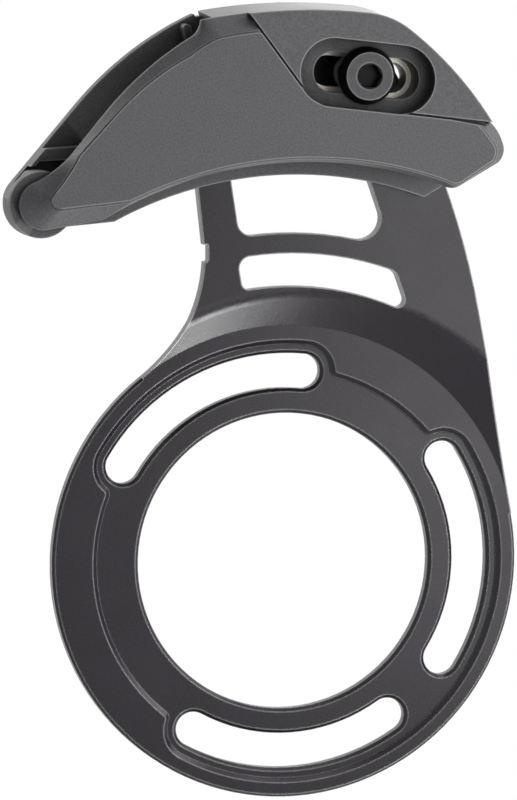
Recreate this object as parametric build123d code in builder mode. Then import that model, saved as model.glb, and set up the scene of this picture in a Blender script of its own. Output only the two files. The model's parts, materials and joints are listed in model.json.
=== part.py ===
# Bicycle chain guide: a pressed back plate that bolts round the crank axle, and a two-part moulded
# cage that slides along one clamp bolt. X is towards the front of the bicycle, Z is up and -Y is the
# drive side. The origin is on the bore axis, in the face that lies against the frame.
import os
from math import atan2, cos, degrees, hypot, radians, sin, sqrt

from build123d import *

# Back plate, in millimetres
sheet = 2.6                 # thickness of the pressed sheet
bore_radius = 26.9
ring_radius = 42.95
ring_break = 0.5            # broken outer edge on the drive side
slot_shift = 0.325          # the mounting slots run this far inside the middle of the ring
slot_width = 6.3            # clearance slot for an M6 screw
slot_angles = [(84, 149), (241, 304), (328, 391.5)]   # end centres of each slot
slot_break = 0.65           # broken edge of the bore and the slots
seat_margin = 1.7           # flat seat left round each slot
seat_corner = 1.6
seat_step = 1.0             # the rim stands this far forward of the seat
seat_slope = 0.9            # sloped part of that step
bend_web = 1.2              # sheet left behind the step of the seat
arm_step = 2.9              # the arms stand this far forward of the rim
dish_spread = 7.95          # the top of the dished cone is this much wider than the ring
dish_x = 3.0                # and leans down towards the front
dish_z = -2.0
dish_bend = 5.0             # soft bend at the top of the cone

# Arms and windows of the back plate
right_tangent = 10.5        # where the right edge leaves the ring
right_run = 38.0            # straight run of that edge
left_low_x = -15.5          # lower and upper end of the straight left edge
left_low_z = 56.3
left_top_x = -18.05
left_top_z = 79.5
head_corner = 5.0
lower_window_inner = 50.2   # radii of the lower window
lower_window_outer = 56.1
upper_window_inner = 59.8
window_left = 98.7          # angle of the left side of both windows
window_right_x = 14.95      # a point on the right side of the upper window
window_right_z = 68.8
window_lean = 109
window_shift = 0.75         # the lower window stops this much short of that side
upper_corner = 2.6
front_corner = 3.8          # the upper window's lower front corner
lower_corner = 1.3          # corners of the lower window nearer the ring
middle_corner = 2.2         # its corners nearer the upper window
notch_depth = 0.65          # notch in the left edge
notch_length = 3.1
notch_height = 56.35

# Clamp: bolt, nut, sleeve and slot
bolt_drop = 11.24           # bolt axis below the crown
bolt_angle = 82.53
slide_tilt = 6.7            # the slot runs down towards the front
slide_length = 12.1         # between the end centres of every part of the slot
bolt_radius = 2.5
bolt_gap = 0.25             # between the shank and the sleeve
sleeve_wall = 1.5
sleeve_ledge = 0.9          # sleeve that shows inside the plastic slot
sleeve_gap = 0.05
head_base = 5.2
head_face = 4.25
head_height = 2.8
head_brim = 0.5
socket_flats = 4.0
socket_depth = 2.4
socket_mouth = 2.45         # countersunk mouth of the socket
mouth_sink = 0.3
tip_break = 0.4             # broken edge at the tips of the bolt and the pin
recess_gap = 0.95           # between the bolt's brim and the recess
recess_back = 0.53          # the recess lies this far behind the slot
recess_extra = 0.3          # and is this much longer
lug_radius = 7.0
lug_turn = 73               # where the right edge runs into the lug
bar_rise = 4.0              # top edge of the head bar above the slide line
thread_gap = 0.05
nut_radius = 4.75
nut_length = 3.4
nut_collar = 3.2
nut_seat = 0.4              # the collar ends this far below the front of the lug

# Cage
inner_wall = 2.8
channel = 8.8
outer_wall = 1.2            # at the foot of the bevel
bevel_rise = 2.1
panel_rise = 0.2
panel_inset = 0.3
panel_round = 2.2           # corner of the panel beside the pad
groove_width = 0.4
groove_depth = 1.1
groove_flare = 0.9          # the groove opens to this much at the front
groove_run = 14.0
roof_wall = 2.6
roof_gap = 0.25
roof_draft = 0.8            # the roof spreads this much towards the frame
roof_rear = 99.5            # angle where the roof starts above the chain's way out
recess_depth = 3.6
pad_start = 96              # angle where the pad's rear side leaves the crown
pad_lean = -53.3            # slope of that side
pad_fall = -7.0             # slope of the pad's lower side
pad_blend = 2.5             # both sides end this far from their corner
boss_wall = 1.5
boss_split = 2.6            # the inner boss stands this far into the channel
crown_radius = 100.5
mouth_radius = 73.3
inner_lip = 2.85            # the inner half reaches this far below the mouth
nose_rise = 8.05            # nose axis above the mouth radius
nose_angle = 125.6
nose_radius = 4.4

# Hinge at the nose
knuckle_radius = 6.0
knuckle_depth = 6.2
knuckle_gap = 0.3
knuckle_trim = 0.2          # the trim stays this far outside the way out
knuckle_flange = 1.5        # full disc in front of the part trimmed along the way out
neck_radius = 5.05
stop_drop = 1.0             # lower half of the knuckle's face, reached by a short ramp
stop_ramp = 3.1
stop_angle = 231
pin_radius = 2.0
pin_head = 3.3
pin_head_depth = 1.6
pin_gap = 0.05
pin_end = 0.8               # the pin ends this far above the foot of the bevel

# Way out for the chain, and the ribs behind it
exit_lean = 49.5            # slope of the lower part of the inner half's edge
exit_share = 0.41           # straight part of that edge
exit_proud = 0.55           # its upper end stands this far above the crown
exit_angle = 100.3
rib_wall = 0.6              # between the pocket and the way out
rib_bar = 2.2
rib_run = 8.4               # the bar starts this far up the way out
rib_length = 7.8
rib_lean = 3
rib_height = 3.2
rib_gap = 0.6               # slit round the knuckle
post_length = 3.0
post_width = 1.45
post_drop = 2.2             # post centre below the crown
post_angle = 101.65
post_height = 3.5
rail_gap = 0.3
rail_wall = 1.6
rail_length = 6.0
rail_depth = 2.2
upper_rail_back = 17.5      # rail centres behind the bolt, along the slide
lower_rail_back = 12.4

# Levels, measured forward from the frame face
rim_back = seat_step
rim_front = rim_back + sheet
arm_back = rim_back + arm_step
arm_front = arm_back + sheet
channel_back = arm_front + inner_wall
channel_front = channel_back + channel
bevel_foot = channel_front + outer_wall
bevel_top = bevel_foot + bevel_rise
recess_floor = bevel_top - recess_depth
head_top = recess_floor + head_height
boss_face = channel_back + boss_split
knuckle_front = channel_front - knuckle_gap
knuckle_back = knuckle_front - knuckle_depth

# Radii of the plate that follow the ring
slot_circle = (bore_radius + ring_radius) / 2 - slot_shift
dish_radius = ring_radius + dish_spread

# Radii of the cage about the bore
inner_mouth = mouth_radius - inner_lip
shoulder = mouth_radius + nose_rise + nose_radius


def on_circle(point, angle, radius):
    # Where a line through a point meets a circle about the bore
    along = point[0] * cos(radians(angle)) + point[1] * sin(radians(angle))
    beside = point[0] ** 2 + point[1] ** 2 - along ** 2
    return moved(point, sqrt(radius ** 2 - beside) - along, angle)


def crossing(point, angle, other, other_angle):
    # Where two lines meet
    gap = (other[0] - point[0], other[1] - point[1])
    across = gap[0] * sin(radians(other_angle)) - gap[1] * cos(radians(other_angle))
    return moved(point, across / sin(radians(other_angle - angle)), angle)


def polar(radius, angle):
    return (radius * cos(radians(angle)), radius * sin(radians(angle)))


def moved(point, distance, angle):
    return (point[0] + distance * cos(radians(angle)), point[1] + distance * sin(radians(angle)))


def heading(angle):
    return (cos(radians(angle)), sin(radians(angle)))


def level(height):
    return Plane.XZ.offset(height)


def slide_slot(width, back=0, longer=0):
    # Obround along the slide, about the bolt or a little behind it
    with Locations(along_slide(back, 0)):
        SlotCenterToCenter(slide_length + longer, width, rotation=-slide_tilt)


def along_slide(back, rise):
    # A point behind the bolt along the slide, and above the slide line
    return moved(moved(bolt_at, back, 180 - slide_tilt), rise, 90 - slide_tilt)


def slot_line(start, end):
    return CenterArc((0, 0), slot_circle, start, end - start)


def seat_outline():
    # The seat is a disc that swells round the slots
    Circle(slot_circle)
    for line in seat_lines:
        SlotArc(line, slot_width + 2 * seat_margin)


# Centre lines of the mounting slots and of the lobes of the seat
slot_lines = [slot_line(start, end) for start, end in slot_angles]
seat_lines = [slot_lines[0], slot_line(slot_angles[1][0], slot_angles[2][1])]


def exit_station(share, angle):
    # A point of the rear edge, between the top of the nose and the crown
    return polar(shoulder + share * (crown_radius - shoulder), angle)


def front_station(share, angle):
    # A point of the front edge, between the mouth and the crown
    return polar(mouth_radius + share * (crown_radius - mouth_radius), angle)


# Stations round the foot of the outer half, from the mouth's rear end over the nose and the crown
bolt_at = polar(crown_radius - bolt_drop, bolt_angle)
nose = polar(mouth_radius + nose_rise, nose_angle)
foot = {
    "mouth_rear": polar(mouth_radius, 120),
    "nose_low": moved(nose, nose_radius, -83),
    "nose_tip": moved(nose, nose_radius, 194),
    "nose_top": moved(nose, nose_radius, 112),
    "exit_low": exit_station(0.02, 119.5),
    "exit_mid": exit_station(0.28, 113.8),
    "exit_top": exit_station(0.837, 101.8),
    "corner": exit_station(0.895, 101.25),
    "crown_rear": polar(crown_radius, 100.8),
    "crown": polar(crown_radius, 91),
    "crown_front": polar(crown_radius, 83.4),
    "brow": front_station(0.934, 79.06),
    "front_top": front_station(0.5044, 67.0),
    "front_side": front_station(0.472, 65.81),
    "front_mid": front_station(0.4158, 64.58),
    "front_round": front_station(0.3732, 63.99),
    "front_low": front_station(0.28, 63.98),
    "chin": polar(mouth_radius + 1.0, 67.5),
    "chin_round": polar(mouth_radius + 0.2, 68.3),
    "mouth_front": polar(mouth_radius, 69.7),
    "mouth": polar(mouth_radius, 92),
}
# The same stations round the top of the bevel
top = {
    "mouth_rear": polar(mouth_radius + 0.6, 115.7),
    "nose_low": moved(nose, 2.3, -23),
    "nose_tip": moved(nose, 0.8, 5),
    "nose_top": moved(nose, 1.7, 68),
    "exit_low": exit_station(0.007, 118.9),
    "exit_mid": exit_station(0.253, 112.9),
    "exit_top": exit_station(0.637, 102.98),
    "corner": exit_station(0.708, 101.5),
    "crown_rear": polar(crown_radius - 3.3, 99.3),
    "crown": polar(crown_radius - 3.2, 91),
    "crown_front": polar(crown_radius - 3.3, 83.4),
    "brow": polar(crown_radius - 4.488, 80.8),
    "front_top": front_station(0.46, 68.4),
    "front_side": front_station(0.421, 66.96),
    "front_mid": front_station(0.373, 65.45),
    "front_round": front_station(0.342, 65.04),
    "front_low": front_station(0.27, 64.85),
    "chin": polar(mouth_radius + 1.29, 67.81),
    "chin_round": polar(mouth_radius + 0.75, 68.5),
    "mouth_front": polar(mouth_radius + 0.7, 69.9),
    "mouth": polar(mouth_radius + 0.6, 92),
}


def brow_line(start, at):
    # Crown, brow and front of the cage, from rear to front
    crown = ThreePointArc(start, at["crown"], at["crown_front"])
    brow = TangentArc(at["crown_front"], at["brow"], tangent=crown % 1)
    TangentArc(at["brow"], at["front_top"], tangent=brow % 1)


def cage_outline(at):
    with BuildLine() as outline:
        Line(at["mouth_rear"], at["nose_low"])
        ThreePointArc(at["nose_low"], at["nose_tip"], at["nose_top"])
        TangentArc(at["nose_top"], at["exit_low"], tangent=heading(22 if at is foot else 47))
        straight = Line(at["exit_low"], at["exit_mid"])
        TangentArc(at["exit_mid"], at["exit_top"], tangent=straight % 1)
        ThreePointArc(at["exit_top"], at["corner"], at["crown_rear"])
        brow_line(at["crown_rear"], at)
        ThreePointArc(at["front_top"], at["front_side"], at["front_mid"])
        ThreePointArc(at["front_mid"], at["front_round"], at["front_low"])
        Line(at["front_low"], at["chin"])
        ThreePointArc(at["chin"], at["chin_round"], at["mouth_front"])
        ThreePointArc(at["mouth_front"], at["mouth"], at["mouth_rear"])
    make_face(outline.edges())


def roof_outline(growth):
    # A band along the inside of the crown, the brow and the front, grown about the bore
    spread = 1 + growth / crown_radius
    at = {name: (spread * x, spread * z) for name, (x, z) in foot.items()}
    with BuildLine() as band:
        brow_line(polar(spread * crown_radius, roof_rear), at)
        offset(amount=roof_wall, side=Side.RIGHT)
    make_face(band.edges())


# Plan of the back plate
left_edge_low = (left_low_x, left_low_z)
left_edge_top = (left_top_x, left_top_z)
window_right = (window_right_x, window_right_z)
right_foot = polar(ring_radius, right_tangent)
right_dir = right_tangent + 90
right_top = moved(right_foot, right_run, right_dir)
lug_right = moved(bolt_at, lug_radius, right_dir - lug_turn)
# The left edge meets the ring in an arc that touches both
flank_radius = (left_low_x ** 2 + left_low_z ** 2 - ring_radius ** 2) / (2 * (ring_radius + left_low_x))
left_tangent = degrees(atan2(left_low_z, left_low_x - flank_radius))
left_foot = polar(ring_radius, left_tangent)
bar_start = along_slide(0, bar_rise)
head_run = (bolt_at[0] - left_edge_top[0]) / cos(radians(slide_tilt))
head_left = along_slide(head_run, bar_rise)
dish_at = (dish_x, dish_z)
ring_plane = Plane(
    (0, 0, 0),
    x_dir=(cos(radians(right_tangent)), 0, sin(radians(right_tangent))),
    z_dir=(sin(radians(right_tangent)), 0, -cos(radians(right_tangent))),
)

with BuildPart() as backplate:
    # Flat sheet of the arms, dished back to the ring by an oblique cone
    with BuildSketch(level(arm_back)):
        Circle(crown_radius)
    extrude(amount=sheet)
    with BuildSketch(level(rim_back)):
        Circle(ring_radius)
    with BuildSketch(level(arm_back)):
        with Locations(dish_at):
            Circle(dish_radius)
    loft(ruled=True)
    with BuildSketch(level(rim_front)):
        Circle(ring_radius)
    with BuildSketch(level(arm_front)):
        with Locations(dish_at):
            Circle(dish_radius)
    loft(ruled=True, mode=Mode.SUBTRACT)
    for height, bend in ((arm_back, dish_bend - sheet), (arm_front, dish_bend)):
        rims = backplate.edges().filter_by_position(Axis.Y, -height - 0.01, -height + 0.01)
        fillet(rims.sort_by(SortBy.LENGTH)[0], bend)
    # Cut to the plan of the ring, the two arms and the head
    with BuildSketch(level(0)) as plan:
        with BuildLine():
            Line(right_foot, right_top)
            TangentArc(right_top, lug_right, tangent=heading(right_dir))
            Line(lug_right, bar_start)
            Line(bar_start, head_left)
            Line(head_left, left_edge_top)
            Line(left_edge_top, left_edge_low)
            TangentArc(left_edge_low, left_foot, tangent=heading(-90))
            Line(left_foot, right_foot)
        make_face()
        fillet(plan.vertices().sort_by_distance(head_left)[0], head_corner)
        Circle(ring_radius)
        with Locations(bolt_at):
            Circle(lug_radius)
    extrude(amount=arm_front + sheet, mode=Mode.INTERSECT)
    # Outer edge of the ring, broken from one arm round to the other
    with BuildSketch(ring_plane):
        with BuildLine():
            Polyline(
                (ring_radius - 2 * ring_break, rim_front + ring_break),
                (ring_radius + ring_break, rim_front - 2 * ring_break),
                (ring_radius + ring_break, rim_front + ring_break),
                close=True,
            )
        make_face()
    revolve(axis=Axis.Y, revolution_arc=360 + right_tangent - left_tangent, mode=Mode.SUBTRACT)
    # Seat pressed back against the frame
    with BuildSketch(level(0)):
        seat_outline()
        offset(amount=bend_web)
    extrude(amount=rim_front)
    with BuildSketch(level(sheet)) as seat:
        seat_outline()
        inner_corners = seat.vertices().filter_by(lambda v: abs(Vector(v.X, v.Y).length - slot_circle) < 0.01)
        fillet(inner_corners, seat_corner)
    extrude(amount=sheet, mode=Mode.SUBTRACT)
    chamfer(backplate.edges(Select.LAST).group_by(Axis.Y)[0], seat_slope)
    # Bore and mounting slots, with their edges broken on the drive side
    with BuildSketch(level(0)):
        Circle(bore_radius)
        for line in slot_lines:
            SlotArc(line, slot_width)
    extrude(amount=rim_front, mode=Mode.SUBTRACT)
    chamfer(backplate.edges(Select.LAST).group_by(Axis.Y)[0], slot_break)
    # Windows between the arms
    with BuildSketch(level(0)) as lower_gap:
        right_side = moved(window_right, window_shift, 180)
        corners = [
            polar(lower_window_inner, window_left + 1),
            polar(lower_window_outer, window_left + 1),
            on_circle(right_side, window_lean, lower_window_outer),
            on_circle(right_side, window_lean, lower_window_inner),
        ]
        with BuildLine():
            Line(corners[0], corners[1])
            ThreePointArc(corners[1], polar(lower_window_outer, 85), corners[2])
            Line(corners[2], corners[3])
            ThreePointArc(corners[3], polar(lower_window_inner, 85), corners[0])
        make_face()
        for near, corner in ((corners[::3], lower_corner), (corners[1:3], middle_corner)):
            fillet([lower_gap.vertices().sort_by_distance(at)[0] for at in near], corner)
    extrude(amount=arm_front + sheet, mode=Mode.SUBTRACT)
    with BuildSketch(level(0)) as upper_gap:
        bar_sill = along_slide(0, -lug_radius)
        corners = [
            polar(upper_window_inner, window_left),
            crossing((0, 0), window_left, bar_sill, 180 - slide_tilt),
            crossing(window_right, window_lean, bar_sill, 180 - slide_tilt),
            on_circle(window_right, window_lean, upper_window_inner),
        ]
        with BuildLine():
            Polyline(corners)
            ThreePointArc(corners[3], polar(upper_window_inner, 85), corners[0])
        make_face()
        for near, corner in ((corners[:3], upper_corner), (corners[3:], front_corner)):
            fillet([upper_gap.vertices().sort_by_distance(at)[0] for at in near], corner)
    extrude(amount=arm_front + sheet, mode=Mode.SUBTRACT)
    # Notch in the left edge and the hole for the nut
    with BuildSketch(level(0)):
        with Locations((left_low_x, notch_height)):
            RectangleRounded(2 * notch_depth, notch_length, notch_depth / 2)
        with Locations(bolt_at):
            Circle(nut_collar + thread_gap)
    extrude(amount=arm_front + sheet, mode=Mode.SUBTRACT)

bolt_axis = Axis((bolt_at[0], 0, bolt_at[1]), (0, -1, 0))
bolt_plane = Plane((bolt_at[0], 0, bolt_at[1]), x_dir=(1, 0, 0), z_dir=(0, 0, 1))

with BuildPart() as clinch_nut:
    with BuildSketch(bolt_plane):
        with BuildLine():
            thread = bolt_radius + thread_gap
            Polyline(
                (thread, nut_length - arm_back),
                (nut_radius, nut_length - arm_back),
                (nut_radius, -arm_back),
                (nut_collar, -arm_back),
                (nut_collar, nut_seat - arm_front),
                (thread, nut_seat - arm_front),
                close=True,
            )
        make_face()
    revolve(axis=bolt_axis)

with BuildPart() as clamp_bolt:
    with BuildSketch(bolt_plane):
        with BuildLine():
            Polyline(
                (0, nut_length - arm_back),
                (bolt_radius - tip_break, nut_length - arm_back),
                (bolt_radius, nut_length - arm_back - tip_break),
                (bolt_radius, -recess_floor),
                (head_base, -recess_floor),
                (head_base, -recess_floor - head_brim),
                (head_face, -head_top),
                (socket_mouth, -head_top),
                (socket_mouth - mouth_sink, mouth_sink - head_top),
                (0, mouth_sink - head_top),
                close=True,
            )
        make_face()
    revolve(axis=bolt_axis)
    with BuildSketch(level(head_top)):
        with Locations(bolt_at):
            RegularPolygon(socket_flats / 2, 6, major_radius=False)
    extrude(amount=-socket_depth, mode=Mode.SUBTRACT)

sleeve_bore = 2 * (bolt_radius + bolt_gap)
sleeve_outside = sleeve_bore + 2 * sleeve_wall

with BuildPart() as slot_sleeve:
    with BuildSketch(level(arm_front)):
        slide_slot(sleeve_outside)
    extrude(amount=boss_face - arm_front)
    with BuildSketch(level(arm_front)):
        slide_slot(sleeve_bore)
    extrude(amount=boss_face - arm_front, mode=Mode.SUBTRACT)

# Raised pad round the clamp slot, in the upper front of the outer half
recess_width = 2 * (head_base + recess_gap)
pad_rear = polar(crown_radius, pad_start)
pad_corner = crossing(pad_rear, pad_lean, foot["front_top"], pad_fall)
pad_low = moved(pad_corner, pad_blend, pad_fall)
pad_side = moved(pad_corner, -pad_blend, pad_lean)


def pad_outline(mode=Mode.ADD):
    with BuildLine() as outline:
        brow_line(pad_rear, foot)
        Line(foot["front_top"], pad_low)
        TangentArc(pad_low, pad_side, tangent=heading(180 + pad_fall))
        Line(pad_side, pad_rear)
    make_face(outline.edges(), mode=mode)


with BuildPart() as outer_cage:
    # Front wall, its bevel, and the two raised fields
    with BuildSketch(level(channel_front)):
        cage_outline(foot)
    extrude(amount=outer_wall)
    with BuildSketch(level(bevel_foot)):
        cage_outline(foot)
    with BuildSketch(level(bevel_top)):
        cage_outline(top)
    loft(ruled=True)
    with BuildSketch(level(bevel_foot)):
        pad_outline()
    extrude(amount=bevel_rise)
    with BuildSketch(level(bevel_top)) as panel:
        cage_outline(top)
        offset(amount=-panel_inset)
        pad_outline(Mode.SUBTRACT)
        panel_corner = crossing(pad_rear, pad_lean, moved(top["crown"], -panel_inset, 91), 6)
        fillet(panel.vertices().sort_by_distance(panel_corner)[0], panel_round)
    extrude(amount=panel_rise)
    # Groove between the panel and the pad, opening towards the front
    with BuildSketch(level(bevel_top - groove_depth)):
        pad_outline()
        offset(amount=groove_width)
        with BuildLine():
            Polyline(
                moved(foot["front_top"], -groove_run, pad_fall),
                foot["front_top"],
                moved(foot["front_top"], groove_flare, pad_fall - 90),
                close=True,
            )
        make_face()
        pad_outline(Mode.SUBTRACT)
    extrude(amount=bevel_rise, mode=Mode.SUBTRACT)
    # Roof over the chain, from the way out to the front
    with BuildSketch(level(arm_front)):
        roof_outline(roof_draft)
    with BuildSketch(level(channel_front)):
        roof_outline(0)
    loft(ruled=True)
    # Boss, recess and slot of the clamp
    with BuildSketch(level(boss_face)):
        slide_slot(recess_width + 2 * boss_wall)
    extrude(amount=channel_front - boss_face)
    with BuildSketch(level(recess_floor)):
        slide_slot(recess_width, recess_back, recess_extra)
    extrude(amount=recess_depth + panel_rise, mode=Mode.SUBTRACT)
    with BuildSketch(level(boss_face)):
        slide_slot(sleeve_bore + 2 * sleeve_ledge)
    extrude(amount=recess_floor - boss_face, mode=Mode.SUBTRACT)
    # Blind hole for the hinge pin
    with BuildSketch(level(channel_front)):
        with Locations(nose):
            Circle(pin_radius + pin_gap)
    extrude(amount=outer_wall + pin_end, mode=Mode.SUBTRACT)

# Edges of the inner half: along the chain's way out, and along the mouth
exit_foot = moved(nose, neck_radius, exit_lean + 90)
exit_top = polar(crown_radius + exit_proud, exit_angle)
exit_run = hypot(exit_top[0] - exit_foot[0], exit_top[1] - exit_foot[1])
exit_bend = moved(exit_foot, exit_share * exit_run, exit_lean)
neck_low = moved(nose, neck_radius, -95)
mouth_front = polar(inner_mouth, 69.7)
mouth_rear = polar(inner_mouth, 117.6)
stop_plane = Plane(
    (nose[0], 0, nose[1]),
    x_dir=(cos(radians(stop_angle + 90)), 0, sin(radians(stop_angle + 90))),
    z_dir=(cos(radians(stop_angle)), 0, sin(radians(stop_angle))),
)

with BuildPart() as inner_cage:
    # Wall beside the chain: as large as the outer half, wider along the way out and along the mouth
    with BuildSketch(level(arm_front)):
        cage_outline(foot)
        with BuildLine():
            Line(nose, exit_foot)
            Line(exit_foot, exit_bend)
            TangentArc(exit_bend, exit_top, tangent=heading(exit_lean))
            Line(exit_top, polar(crown_radius - roof_wall, roof_rear))
            Line(polar(crown_radius - roof_wall, roof_rear), nose)
        make_face()
        with BuildLine():
            ThreePointArc(mouth_front, polar(inner_mouth, 92), mouth_rear)
            Line(mouth_rear, neck_low)
            Line(neck_low, nose)
            ThreePointArc(nose, polar(mouth_radius + roof_wall, 92), foot["front_low"])
            Line(foot["front_low"], mouth_front)
        make_face()
        with Locations(nose):
            Circle(neck_radius)
    extrude(amount=inner_wall)
    # Knuckle on its neck
    with BuildSketch(level(channel_back)):
        with Locations(nose):
            Circle(neck_radius)
    extrude(amount=knuckle_back - channel_back)
    with BuildSketch(level(knuckle_back)):
        with Locations(nose):
            Circle(knuckle_radius)
    extrude(amount=knuckle_depth)
    with BuildSketch(level(knuckle_back)):
        with Locations(moved(exit_foot, knuckle_trim + knuckle_radius, exit_lean + 90)):
            Rectangle(4 * knuckle_radius, 2 * knuckle_radius, rotation=exit_lean)
    extrude(amount=knuckle_depth - knuckle_flange, mode=Mode.SUBTRACT)
    # Stop on the knuckle's face
    with BuildSketch(stop_plane):
        with BuildLine():
            reach = 2 * knuckle_radius
            Polyline(
                (-stop_ramp / 2, knuckle_front),
                (stop_ramp / 2, knuckle_front - stop_drop),
                (reach, knuckle_front - stop_drop),
                (reach, knuckle_front),
                close=True,
            )
        make_face()
    extrude(amount=reach, mode=Mode.SUBTRACT)
    # Ribs and pocket under the chain's way out
    with BuildSketch(level(channel_back)):
        rib_top = moved(exit_foot, rib_run, exit_lean)
        rib_rear = moved(rib_top, rib_length, rib_lean)
        rib_low = polar(mouth_radius + roof_wall, 117.5)
        with BuildLine():
            Polyline(exit_foot, rib_top, rib_rear, rib_low, nose, close=True)
        make_face()
        pocket_side = moved(exit_foot, rib_wall, exit_lean - 90)
        pocket_bar = moved(rib_top, rib_bar, rib_lean - 90)
        pocket_top = crossing(pocket_side, exit_lean, pocket_bar, rib_lean)
        pocket_rear = moved(pocket_top, rib_length - rib_bar, rib_lean)
        with BuildLine():
            Polyline(pocket_side, pocket_top, pocket_rear, nose, close=True)
        make_face(mode=Mode.SUBTRACT)
        with Locations(nose):
            Circle(knuckle_radius + rib_gap, mode=Mode.SUBTRACT)
    extrude(amount=rib_height)
    # Post beside the end of the roof
    with BuildSketch(level(channel_back)):
        with Locations(polar(crown_radius - post_drop, post_angle)):
            SlotOverall(post_length, post_width, rotation=post_angle)
    extrude(amount=post_height)
    # Boss round the sleeve, and rails that keep the cage square to the head bar
    with BuildSketch(level(channel_back)):
        slide_slot(sleeve_outside + 2 * boss_wall)
    extrude(amount=boss_split)
    with BuildSketch(level(arm_front)):
        with Locations(along_slide(upper_rail_back, bar_rise + rail_gap + rail_wall / 2)):
            Rectangle(rail_length, rail_wall, rotation=-slide_tilt)
        with Locations(along_slide(lower_rail_back, -lug_radius - rail_gap - rail_wall / 2)):
            Rectangle(rail_length, rail_wall, rotation=-slide_tilt)
    extrude(amount=-rail_depth)
    with BuildSketch(level(arm_front)):
        slide_slot(sleeve_outside + 2 * sleeve_gap)
    extrude(amount=boss_face - arm_front, mode=Mode.SUBTRACT)
    # Room for the roof of the outer half
    with BuildSketch(level(arm_front)):
        roof_outline(roof_draft)
        offset(amount=roof_gap)
    with BuildSketch(level(channel_front)):
        roof_outline(0)
        offset(amount=roof_gap)
    loft(ruled=True, mode=Mode.SUBTRACT)
    # Stepped hole for the hinge pin
    with BuildSketch(level(arm_front)):
        with Locations(nose):
            Circle(pin_radius + pin_gap)
    extrude(amount=knuckle_front - arm_front, mode=Mode.SUBTRACT)
    with BuildSketch(level(arm_front)):
        with Locations(nose):
            Circle(pin_head + pin_gap)
    extrude(amount=pin_gap + pin_head_depth, mode=Mode.SUBTRACT)

pin_axis = Axis((nose[0], 0, nose[1]), (0, -1, 0))
pin_plane = Plane((nose[0], 0, nose[1]), x_dir=(1, 0, 0), z_dir=(0, 0, 1))

with BuildPart() as hinge_pin:
    with BuildSketch(pin_plane):
        with BuildLine():
            pin_foot = arm_front + pin_gap
            pin_neck = pin_foot + pin_head_depth
            pin_tip = bevel_foot + pin_end - pin_gap
            Polyline(
                (0, -pin_foot),
                (pin_head, -pin_foot),
                (pin_head, -pin_neck),
                (pin_radius, -pin_neck),
                (pin_radius, tip_break - pin_tip),
                (pin_radius - tip_break, -pin_tip),
                (0, -pin_tip),
                close=True,
            )
        make_face()
    revolve(axis=pin_axis)

os.makedirs("parts", exist_ok=True)
pieces = {
    "backplate": backplate,
    "inner_cage": inner_cage,
    "outer_cage": outer_cage,
    "slot_sleeve": slot_sleeve,
    "clamp_bolt": clamp_bolt,
    "clinch_nut": clinch_nut,
    "hinge_pin": hinge_pin,
}
for name, piece in pieces.items():
    piece.part.label = name
    export_step(piece.part, f"parts/{name}.step")
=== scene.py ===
import json
import math

import bpy
import numpy as np
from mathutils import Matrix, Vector


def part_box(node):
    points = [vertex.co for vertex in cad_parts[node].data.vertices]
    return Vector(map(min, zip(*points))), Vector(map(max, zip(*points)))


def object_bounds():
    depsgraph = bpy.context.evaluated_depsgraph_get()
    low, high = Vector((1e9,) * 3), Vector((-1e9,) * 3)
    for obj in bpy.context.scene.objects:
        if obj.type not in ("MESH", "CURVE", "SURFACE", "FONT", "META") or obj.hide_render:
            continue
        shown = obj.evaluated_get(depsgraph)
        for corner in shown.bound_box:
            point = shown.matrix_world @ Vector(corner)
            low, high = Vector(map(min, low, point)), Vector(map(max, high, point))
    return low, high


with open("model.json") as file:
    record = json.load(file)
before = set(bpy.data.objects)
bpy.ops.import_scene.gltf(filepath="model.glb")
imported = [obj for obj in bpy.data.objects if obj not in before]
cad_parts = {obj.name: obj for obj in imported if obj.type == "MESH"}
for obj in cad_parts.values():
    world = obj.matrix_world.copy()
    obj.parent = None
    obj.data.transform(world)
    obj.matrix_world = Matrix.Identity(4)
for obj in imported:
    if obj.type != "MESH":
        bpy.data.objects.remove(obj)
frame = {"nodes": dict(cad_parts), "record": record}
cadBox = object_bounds()
scene = bpy.context.scene
mm = 0.001                   # the frame is in metres
print("frame loaded:", sorted(frame["nodes"]))


def hexColour(text):
    # sRGB hex to linear: channels up to 0.04045 are divided by 12.92, the rest follow the 2.4 power curve
    srgb = np.array([int(text[i:i + 2], 16) for i in (1, 3, 5)]) / 255
    linear = np.where(srgb <= 0.04045, srgb / 12.92, ((srgb + 0.055) / 1.055) ** 2.4)
    return (*linear.tolist(), 1.0)


def addNode(tree, kind, settings=None, inputs=None):
    # settings go on the node itself; an input is a value, or a socket to link from
    node = tree.nodes.new(kind)
    for key, value in (settings or {}).items():
        setattr(node, key, value)
    for key, value in (inputs or {}).items():
        if isinstance(value, bpy.types.NodeSocket):
            tree.links.new(value, node.inputs[key])
        else:
            node.inputs[key].default_value = value
    return node


def newMaterial(name):
    material = bpy.data.materials.new(name)
    material.use_nodes = True
    tree = material.node_tree
    tree.nodes.clear()
    return material, tree


def closeMaterial(tree, shader):
    output = addNode(tree, "ShaderNodeOutputMaterial")
    tree.links.new(shader.outputs[0], output.inputs["Surface"])


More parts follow.
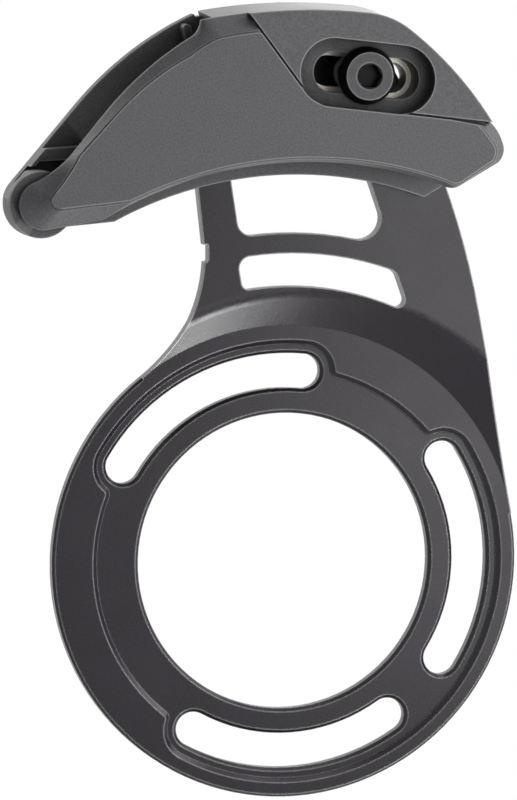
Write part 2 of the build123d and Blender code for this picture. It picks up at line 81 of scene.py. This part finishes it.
# Glass-filled nylon, moulded in a spark-eroded tool: matt grey with a fine even grain, with a painted
# highlight along its edges and painted shade in its creases and hollows
cageNylon = {
    "colour": "#4b4a4c",
    "lighter": "#616063",
    # painted highlight along the outer edges: its colour, its share, and how far in it reaches
    "edgeGlintColour": "#a5a4a7",
    "edgeGlintShare": 0.55,
    "edgeGlintMm": 0.3,
    # painted shade in creases and hollows: reach in mm, depth, and the openness from which no shade is
    # painted
    "paintedShades": [(0.6, 0.7, 0.95), (16.0, 0.8, 0.65)],
    "blindHole": {"pin": "hinge_pin", "reachMm": 3.6, "fade": 0.8},   # no painted edge highlight over the end of the pin's hole
    "grainMm": 0.36,         # the tool's grit is nearer 0.15 mm, drawn coarser so that it shows
    "grainDepthMm": 0.035,
    "cloudMm": 9.0,
    "roughness": 0.5,
    "edgeMm": 0.14,
    # the rear end of the crown, at this point in metres, is rounded more than the other edges
    "softCorner": {"at": (-0.0178, -0.0203, 0.0968), "reachMm": 5.5, "fade": 0.3, "edgeMm": 2.2},
    "metallic": 0.0,
    "ior": 1.38,             # the matt skin shines less than bare nylon at 1.53
}
# Pressed aluminium, black anodised: smooth, half gloss, with a trace of the rolled sheet's grain.
# The dyed oxide is what the eye sees, so it isn't metallic
plateBlack = {
    "colour": "#171119",
    "lighter": "#1f1922",
    # painted highlight along the outer edges: its colour, its share, and how far in it reaches
    "edgeGlintColour": "#b0afb3",
    "edgeGlintShare": 0.9,
    "edgeGlintMm": 0.3,
    "grainMm": 0.5,
    "grainDepthMm": 0.006,
    "cloudMm": 14.0,
    "roughness": 0.26,
    "edgeMm": 0.25,
    "metallic": 0.0,
    "ior": 1.4,
}
# Steel screw with a black oxide finish, a little oily, rubbed grey on its face. The porous oxide hardly
# shines, so it isn't metallic either
boltBlack = {
    "colour": "#525254",
    "lighter": "#5e5e60",
    # painted highlight along the outer edges: its colour, its share, and how far in it reaches
    "edgeGlintColour": "#a8a8aa",
    "edgeGlintShare": 0.8,
    "edgeGlintMm": 0.25,
    "oxideAndSocketShade": "#19191a",   # the oxide's own dark colour behind the face and round the brim; in the socket it is also painted shade
    "faceMm": 0.25,          # the face is rubbed this far down
    "faceFade": 0.3,
    # painted shade, deepest in the hex socket
    "paintedShades": [(2.5, 0.97, 0.95)],
    "ownShade": True,        # only the screw's own hollows count
    "grainMm": 0.3,
    "grainDepthMm": 0.006,
    "cloudMm": 2.5,
    "roughness": 0.34,
    "edgeMm": 0.15,
    "metallic": 0.0,
    "ior": 1.2,
}
# Plain aluminium bushing, turned and tumbled: pale and satin
sleeveBright = {
    "colour": "#b9b3a6",
    "lighter": "#d2cdc2",
    # painted highlight along the outer edges: its colour, its share, and how far in it reaches
    "edgeGlintColour": "#dedad0",
    "edgeGlintShare": 0.5,
    "edgeGlintMm": 0.3,
    "grainMm": 0.25,
    "grainDepthMm": 0.008,
    "cloudMm": 3.0,
    "roughness": 0.42,
    "edgeMm": 0.15,
    "metallic": 1.0,
    "ior": 1.5,
}
# Zinc plated steel for the nut and the pin: light grey with a soft shine
zincPlate = {
    "colour": "#9a9a9c",
    "lighter": "#b4b5b8",
    # painted highlight along the outer edges: its colour, its share, and how far in it reaches
    "edgeGlintColour": "#c6c7c9",
    "edgeGlintShare": 0.4,
    "edgeGlintMm": 0.3,
    "grainMm": 0.3,
    "grainDepthMm": 0.006,
    "cloudMm": 2.0,
    "roughness": 0.36,
    "edgeMm": 0.15,
    "metallic": 1.0,
    "ior": 1.5,
}
# How every finish is drawn
drawing = {
    "cloudDetail": 4.0,
    "cloudRoughness": 0.55,
    "cloudSpan": (0.3, 0.7),     # cloud values that span the change in roughness
    "roughSpread": 0.04,
    "grainDetail": 2.0,
    "grainRoughness": 0.6,
    "grainSpan": (0.36, 0.64),   # grain values that span the two tones
    "grainShare": 0.65,          # grain against cloud in the mix of tones
    "edgeGlintSpan": (0.96, 0.76),     # openness where the painted edge highlight starts, and where it is full
    "darkestPaintedShade": 0.45,          # openness at which the painted shade of a hollow is darkest
    "raySamples": 6,
}


def tones(tree, look, place):
    # two tones, mixed by a soft cloud and a fine grain
    cloud = addNode(tree, "ShaderNodeTexNoise", inputs={
        "Vector": place, "Scale": 1 / (look["cloudMm"] * mm),
        "Detail": drawing["cloudDetail"], "Roughness": drawing["cloudRoughness"]}).outputs["Fac"]
    grain = addNode(tree, "ShaderNodeTexNoise", inputs={
        "Vector": place, "Scale": 1 / (look["grainMm"] * mm),
        "Detail": drawing["grainDetail"], "Roughness": drawing["grainRoughness"]}).outputs["Fac"]
    low, high = drawing["grainSpan"]
    speck = addNode(tree, "ShaderNodeMapRange", inputs={"Value": grain, "From Min": low, "From Max": high})
    mottle = addNode(tree, "ShaderNodeMix", inputs={
        "Factor": drawing["grainShare"], "A": cloud, "B": speck.outputs["Result"]})
    tone = addNode(tree, "ShaderNodeMix", {"data_type": "RGBA"}, {
        "Factor": mottle.outputs["Result"],
        "A": hexColour(look["colour"]), "B": hexColour(look["lighter"])})
    return tone.outputs["Result"], cloud, grain


def paintedEdgeGlints(tree, look, place, colour):
    # rays that run into the piece soon leave it again beside an outer edge, and there a lighter colour is
    # painted as a highlight
    inside = addNode(tree, "ShaderNodeAmbientOcclusion", {
        "inside": True, "only_local": True, "samples": drawing["raySamples"]}, {
        "Distance": look["edgeGlintMm"] * mm})
    start, full = drawing["edgeGlintSpan"]
    glintFactor = addNode(tree, "ShaderNodeMapRange", inputs={
        "Value": inside.outputs["AO"], "From Min": start, "From Max": full,
        "To Max": look["edgeGlintShare"]}).outputs["Result"]
    if "blindHole" in look:
        hole = look["blindHole"]
        low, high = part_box(hole["pin"])
        end = ((low[0] + high[0]) / 2, low[1], (low[2] + high[2]) / 2)
        reach = hole["reachMm"] * mm
        away = addNode(tree, "ShaderNodeVectorMath", {"operation": "DISTANCE"}, {0: place, 1: end})
        clear = addNode(tree, "ShaderNodeMapRange", inputs={
            "Value": away.outputs["Value"], "From Min": hole["fade"] * reach, "From Max": reach})
        glintFactor = addNode(tree, "ShaderNodeMath", {"operation": "MULTIPLY"}, {
            0: glintFactor, 1: clear.outputs["Result"]}).outputs[0]
    return addNode(tree, "ShaderNodeMix", {"data_type": "RGBA"}, {
        "Factor": glintFactor, "A": colour, "B": hexColour(look["edgeGlintColour"])}).outputs["Result"]


def rubbedFaceAndSocketShade(tree, look, place, colour):
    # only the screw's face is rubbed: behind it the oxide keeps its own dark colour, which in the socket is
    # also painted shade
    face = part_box("clamp_bolt")[0][1]
    sink = look["faceMm"] * mm
    depth = addNode(tree, "ShaderNodeSeparateXYZ", inputs={"Vector": place})
    behind = addNode(tree, "ShaderNodeMapRange", inputs={
        "Value": depth.outputs["Y"], "From Min": face + look["faceFade"] * sink, "From Max": face + sink})
    return addNode(tree, "ShaderNodeMix", {"data_type": "RGBA"}, {
        "Factor": behind.outputs["Result"],
        "A": colour, "B": hexColour(look["oxideAndSocketShade"])}).outputs["Result"]


def paintedHollowShade(tree, look, colour):
    # painted shade: each mixes the colour towards black where the surface is closed in within its reach
    for reachMm, depth, shadeFreeFrom in look.get("paintedShades", []):
        hollow = addNode(tree, "ShaderNodeAmbientOcclusion", {
            "samples": drawing["raySamples"], "only_local": look.get("ownShade", False)}, {
            "Distance": reachMm * mm})
        shade = addNode(tree, "ShaderNodeMapRange", inputs={
            "Value": hollow.outputs["AO"], "From Min": drawing["darkestPaintedShade"], "From Max": shadeFreeFrom,
            "To Min": depth, "To Max": 0.0})
        colour = addNode(tree, "ShaderNodeMix", {"data_type": "RGBA"}, {
            "Factor": shade.outputs["Result"],
            "A": colour, "B": hexColour("#000000")}).outputs["Result"]
    return colour


def softEdges(tree, look, place, grain):
    # rounded edges, with the grain standing on them
    radius = look["edgeMm"] * mm
    if "softCorner" in look:
        soft = look["softCorner"]
        reach = soft["reachMm"] * mm
        away = addNode(tree, "ShaderNodeVectorMath", {"operation": "DISTANCE"}, {0: place, 1: soft["at"]})
        radius = addNode(tree, "ShaderNodeMapRange", {"interpolation_type": "SMOOTHSTEP"}, {
            "Value": away.outputs["Value"], "From Min": soft["fade"] * reach, "From Max": reach,
            "To Min": soft["edgeMm"] * mm, "To Max": radius}).outputs["Result"]
    edge = addNode(tree, "ShaderNodeBevel", {"samples": drawing["raySamples"]}, {"Radius": radius})
    return addNode(tree, "ShaderNodeBump", inputs={
        "Strength": 1.0, "Distance": look["grainDepthMm"] * mm,
        "Height": grain, "Normal": edge.outputs[0]}).outputs[0]


def grainedMaterial(name, look):
    material, tree = newMaterial(name)
    place = addNode(tree, "ShaderNodeTexCoord").outputs["Object"]
    colour, cloud, grain = tones(tree, look, place)
    # painted highlight along the outer edges
    colour = paintedEdgeGlints(tree, look, place, colour)
    # the oxide's colour behind the screw's face, which in the socket is also painted shade
    if "oxideAndSocketShade" in look:
        colour = rubbedFaceAndSocketShade(tree, look, place, colour)
    # painted shade in creases and hollows
    colour = paintedHollowShade(tree, look, colour)
    low, high = drawing["cloudSpan"]
    rough = addNode(tree, "ShaderNodeMapRange", inputs={
        "Value": cloud, "From Min": low, "From Max": high,
        "To Min": look["roughness"] - drawing["roughSpread"],
        "To Max": look["roughness"] + drawing["roughSpread"]})
    shader = addNode(tree, "ShaderNodeBsdfPrincipled", inputs={
        "Base Color": colour, "Roughness": rough.outputs["Result"],
        "Normal": softEdges(tree, look, place, grain),
        "Metallic": look["metallic"], "IOR": look["ior"]})
    closeMaterial(tree, shader)
    return material


finishes = {
    "cage_nylon": grainedMaterial("sparkTexturedNylon", cageNylon),
    "plate_metal": grainedMaterial("blackAnodisedAluminium", plateBlack),
    "bolt_steel": grainedMaterial("blackOxideSteel", boltBlack),
    "sleeve_metal": grainedMaterial("tumbledAluminium", sleeveBright),
    "plain_steel": grainedMaterial("zincPlatedSteel", zincPlate),
}
for part in frame["record"]["subparts"]:
    node = frame["nodes"][part["node"]]
    node.data.materials.clear()
    node.data.materials.append(finishes[part["material_slot"]])
print("finishes:", sorted(finishes))

# Stage: pale floor well below the part, and a world that is white behind it
stageLook = {
    "floorDrop": 1.0,
    "floorSize": 12.0,
    "floorColour": "#f4f4f3",
    "floorRoughness": 0.8,
    "worldColour": "#ffffff",
    "worldLight": 0.06,      # what the world gives to diffuse surfaces
    "white": 1.0,            # strength at which the surroundings are seen
}


def whiteRays(tree):
    # 1 for the rays that see the white surroundings: straight from the camera, mirrored or through glass
    rays = addNode(tree, "ShaderNodeLightPath")
    seen = addNode(tree, "ShaderNodeMath", {"operation": "MAXIMUM"}, {
        0: rays.outputs["Is Camera Ray"], 1: rays.outputs["Is Glossy Ray"]})
    return addNode(tree, "ShaderNodeMath", {"operation": "MAXIMUM"}, {
        0: seen.outputs[0], 1: rays.outputs["Is Transmission Ray"]}).outputs[0]


def buildFloor(look):
    low = cadBox[0][2] - look["floorDrop"]
    half = look["floorSize"] / 2
    corners = [(-half, -half, low), (half, -half, low), (half, half, low), (-half, half, low)]
    mesh = bpy.data.meshes.new("floor")
    mesh.from_pydata(corners, [], [(0, 1, 2, 3)])
    floor = bpy.data.objects.new("floor", mesh)
    scene.collection.objects.link(floor)
    material, tree = newMaterial("palePaper")
    shader = addNode(tree, "ShaderNodeBsdfPrincipled", inputs={
        "Base Color": hexColour(look["floorColour"]), "Roughness": look["floorRoughness"]})
    glow = addNode(tree, "ShaderNodeEmission", inputs={
        "Color": hexColour(look["worldColour"]), "Strength": look["white"]})
    mixed = addNode(tree, "ShaderNodeMixShader", inputs={
        0: whiteRays(tree), 1: shader.outputs[0], 2: glow.outputs[0]})
    closeMaterial(tree, mixed)
    mesh.materials.append(material)


def buildWorld(look):
    world = bpy.data.worlds.new("studio")
    world.use_nodes = True
    scene.world = world
    tree = world.node_tree
    tree.nodes.clear()
    strength = addNode(tree, "ShaderNodeMapRange", inputs={
        "Value": whiteRays(tree), "To Min": look["worldLight"], "To Max": look["white"]})
    sky = addNode(tree, "ShaderNodeBackground", inputs={
        "Color": hexColour(look["worldColour"]), "Strength": strength.outputs["Result"]})
    output = addNode(tree, "ShaderNodeOutputWorld")
    tree.links.new(sky.outputs[0], output.inputs["Surface"])


buildFloor(stageLook)
buildWorld(stageLook)

# Soft boxes that face the middle of the part, placed in metres from it
softBoxes = {
    "keyRight": {"at": (0.145, -0.272, 0.01), "size": (0.15, 0.2), "watts": 0.28},
    "stripRight": {"at": (0.70, -0.37, -0.07), "size": (0.06, 1.4), "watts": 1.6},
    "topRight": {"at": (0.20, -0.20, 0.96), "size": (0.55, 0.55), "watts": 2.6},
    "sideHigh": {"at": (0.79, -0.21, 0.57), "size": (0.5, 0.5), "watts": 6.0},
    "rimBack": {"at": (0.41, 0.71, 0.57), "size": (0.55, 0.55), "watts": 5.5},
    "fillBack": {"at": (-0.58, 0.69, 0.42), "size": (0.55, 0.55), "watts": 3.0},
    "lowRight": {"at": (0.50, -0.48, -0.72), "size": (0.36, 0.2), "watts": 7.2},   # shine on the dished cone
}
middle = (cadBox[0] + cadBox[1]) / 2
for name, box in softBoxes.items():
    lamp = bpy.data.lights.new(name, "AREA")
    lamp.shape = "RECTANGLE"
    lamp.size, lamp.size_y = box["size"]
    lamp.energy = box["watts"]
    holder = bpy.data.objects.new(name, lamp)
    scene.collection.objects.link(holder)
    holder.location = middle + Vector(box["at"])
    holder.rotation_euler = (-Vector(box["at"])).to_track_quat("-Z", "Y").to_euler()
print("stage and", len(softBoxes), "soft boxes")

# Camera: long lens, a little left of the drive side and above
cameraView = {
    "target": (-0.00587, -0.0077, 0.02982),
    "azimuth": -12.6,
    "elevation": 5.0,
    "distance": 1.4,
    "tall": 0.144,           # height of the picture at the target, metres
    "sensorMm": 36,
    "clip": (0.05, 50),
}


def buildCamera(view):
    turn, rise = math.radians(view["azimuth"]), math.radians(view["elevation"])
    back = Vector((math.sin(turn) * math.cos(rise), -math.cos(turn) * math.cos(rise), math.sin(rise)))
    lens = bpy.data.cameras.new("camera")
    lens.sensor_width = view["sensorMm"]
    lens.lens = view["sensorMm"] * view["distance"] / view["tall"]
    lens.clip_start, lens.clip_end = view["clip"]
    camera = bpy.data.objects.new("camera", lens)
    scene.collection.objects.link(camera)
    camera.location = Vector(view["target"]) + back * view["distance"]
    camera.rotation_euler = (-back).to_track_quat("-Z", "Y").to_euler()
    scene.camera = camera


buildCamera(cameraView)
scene.view_settings.view_transform = "Standard"
print("camera at azimuth", cameraView["azimuth"], "and elevation", cameraView["elevation"])
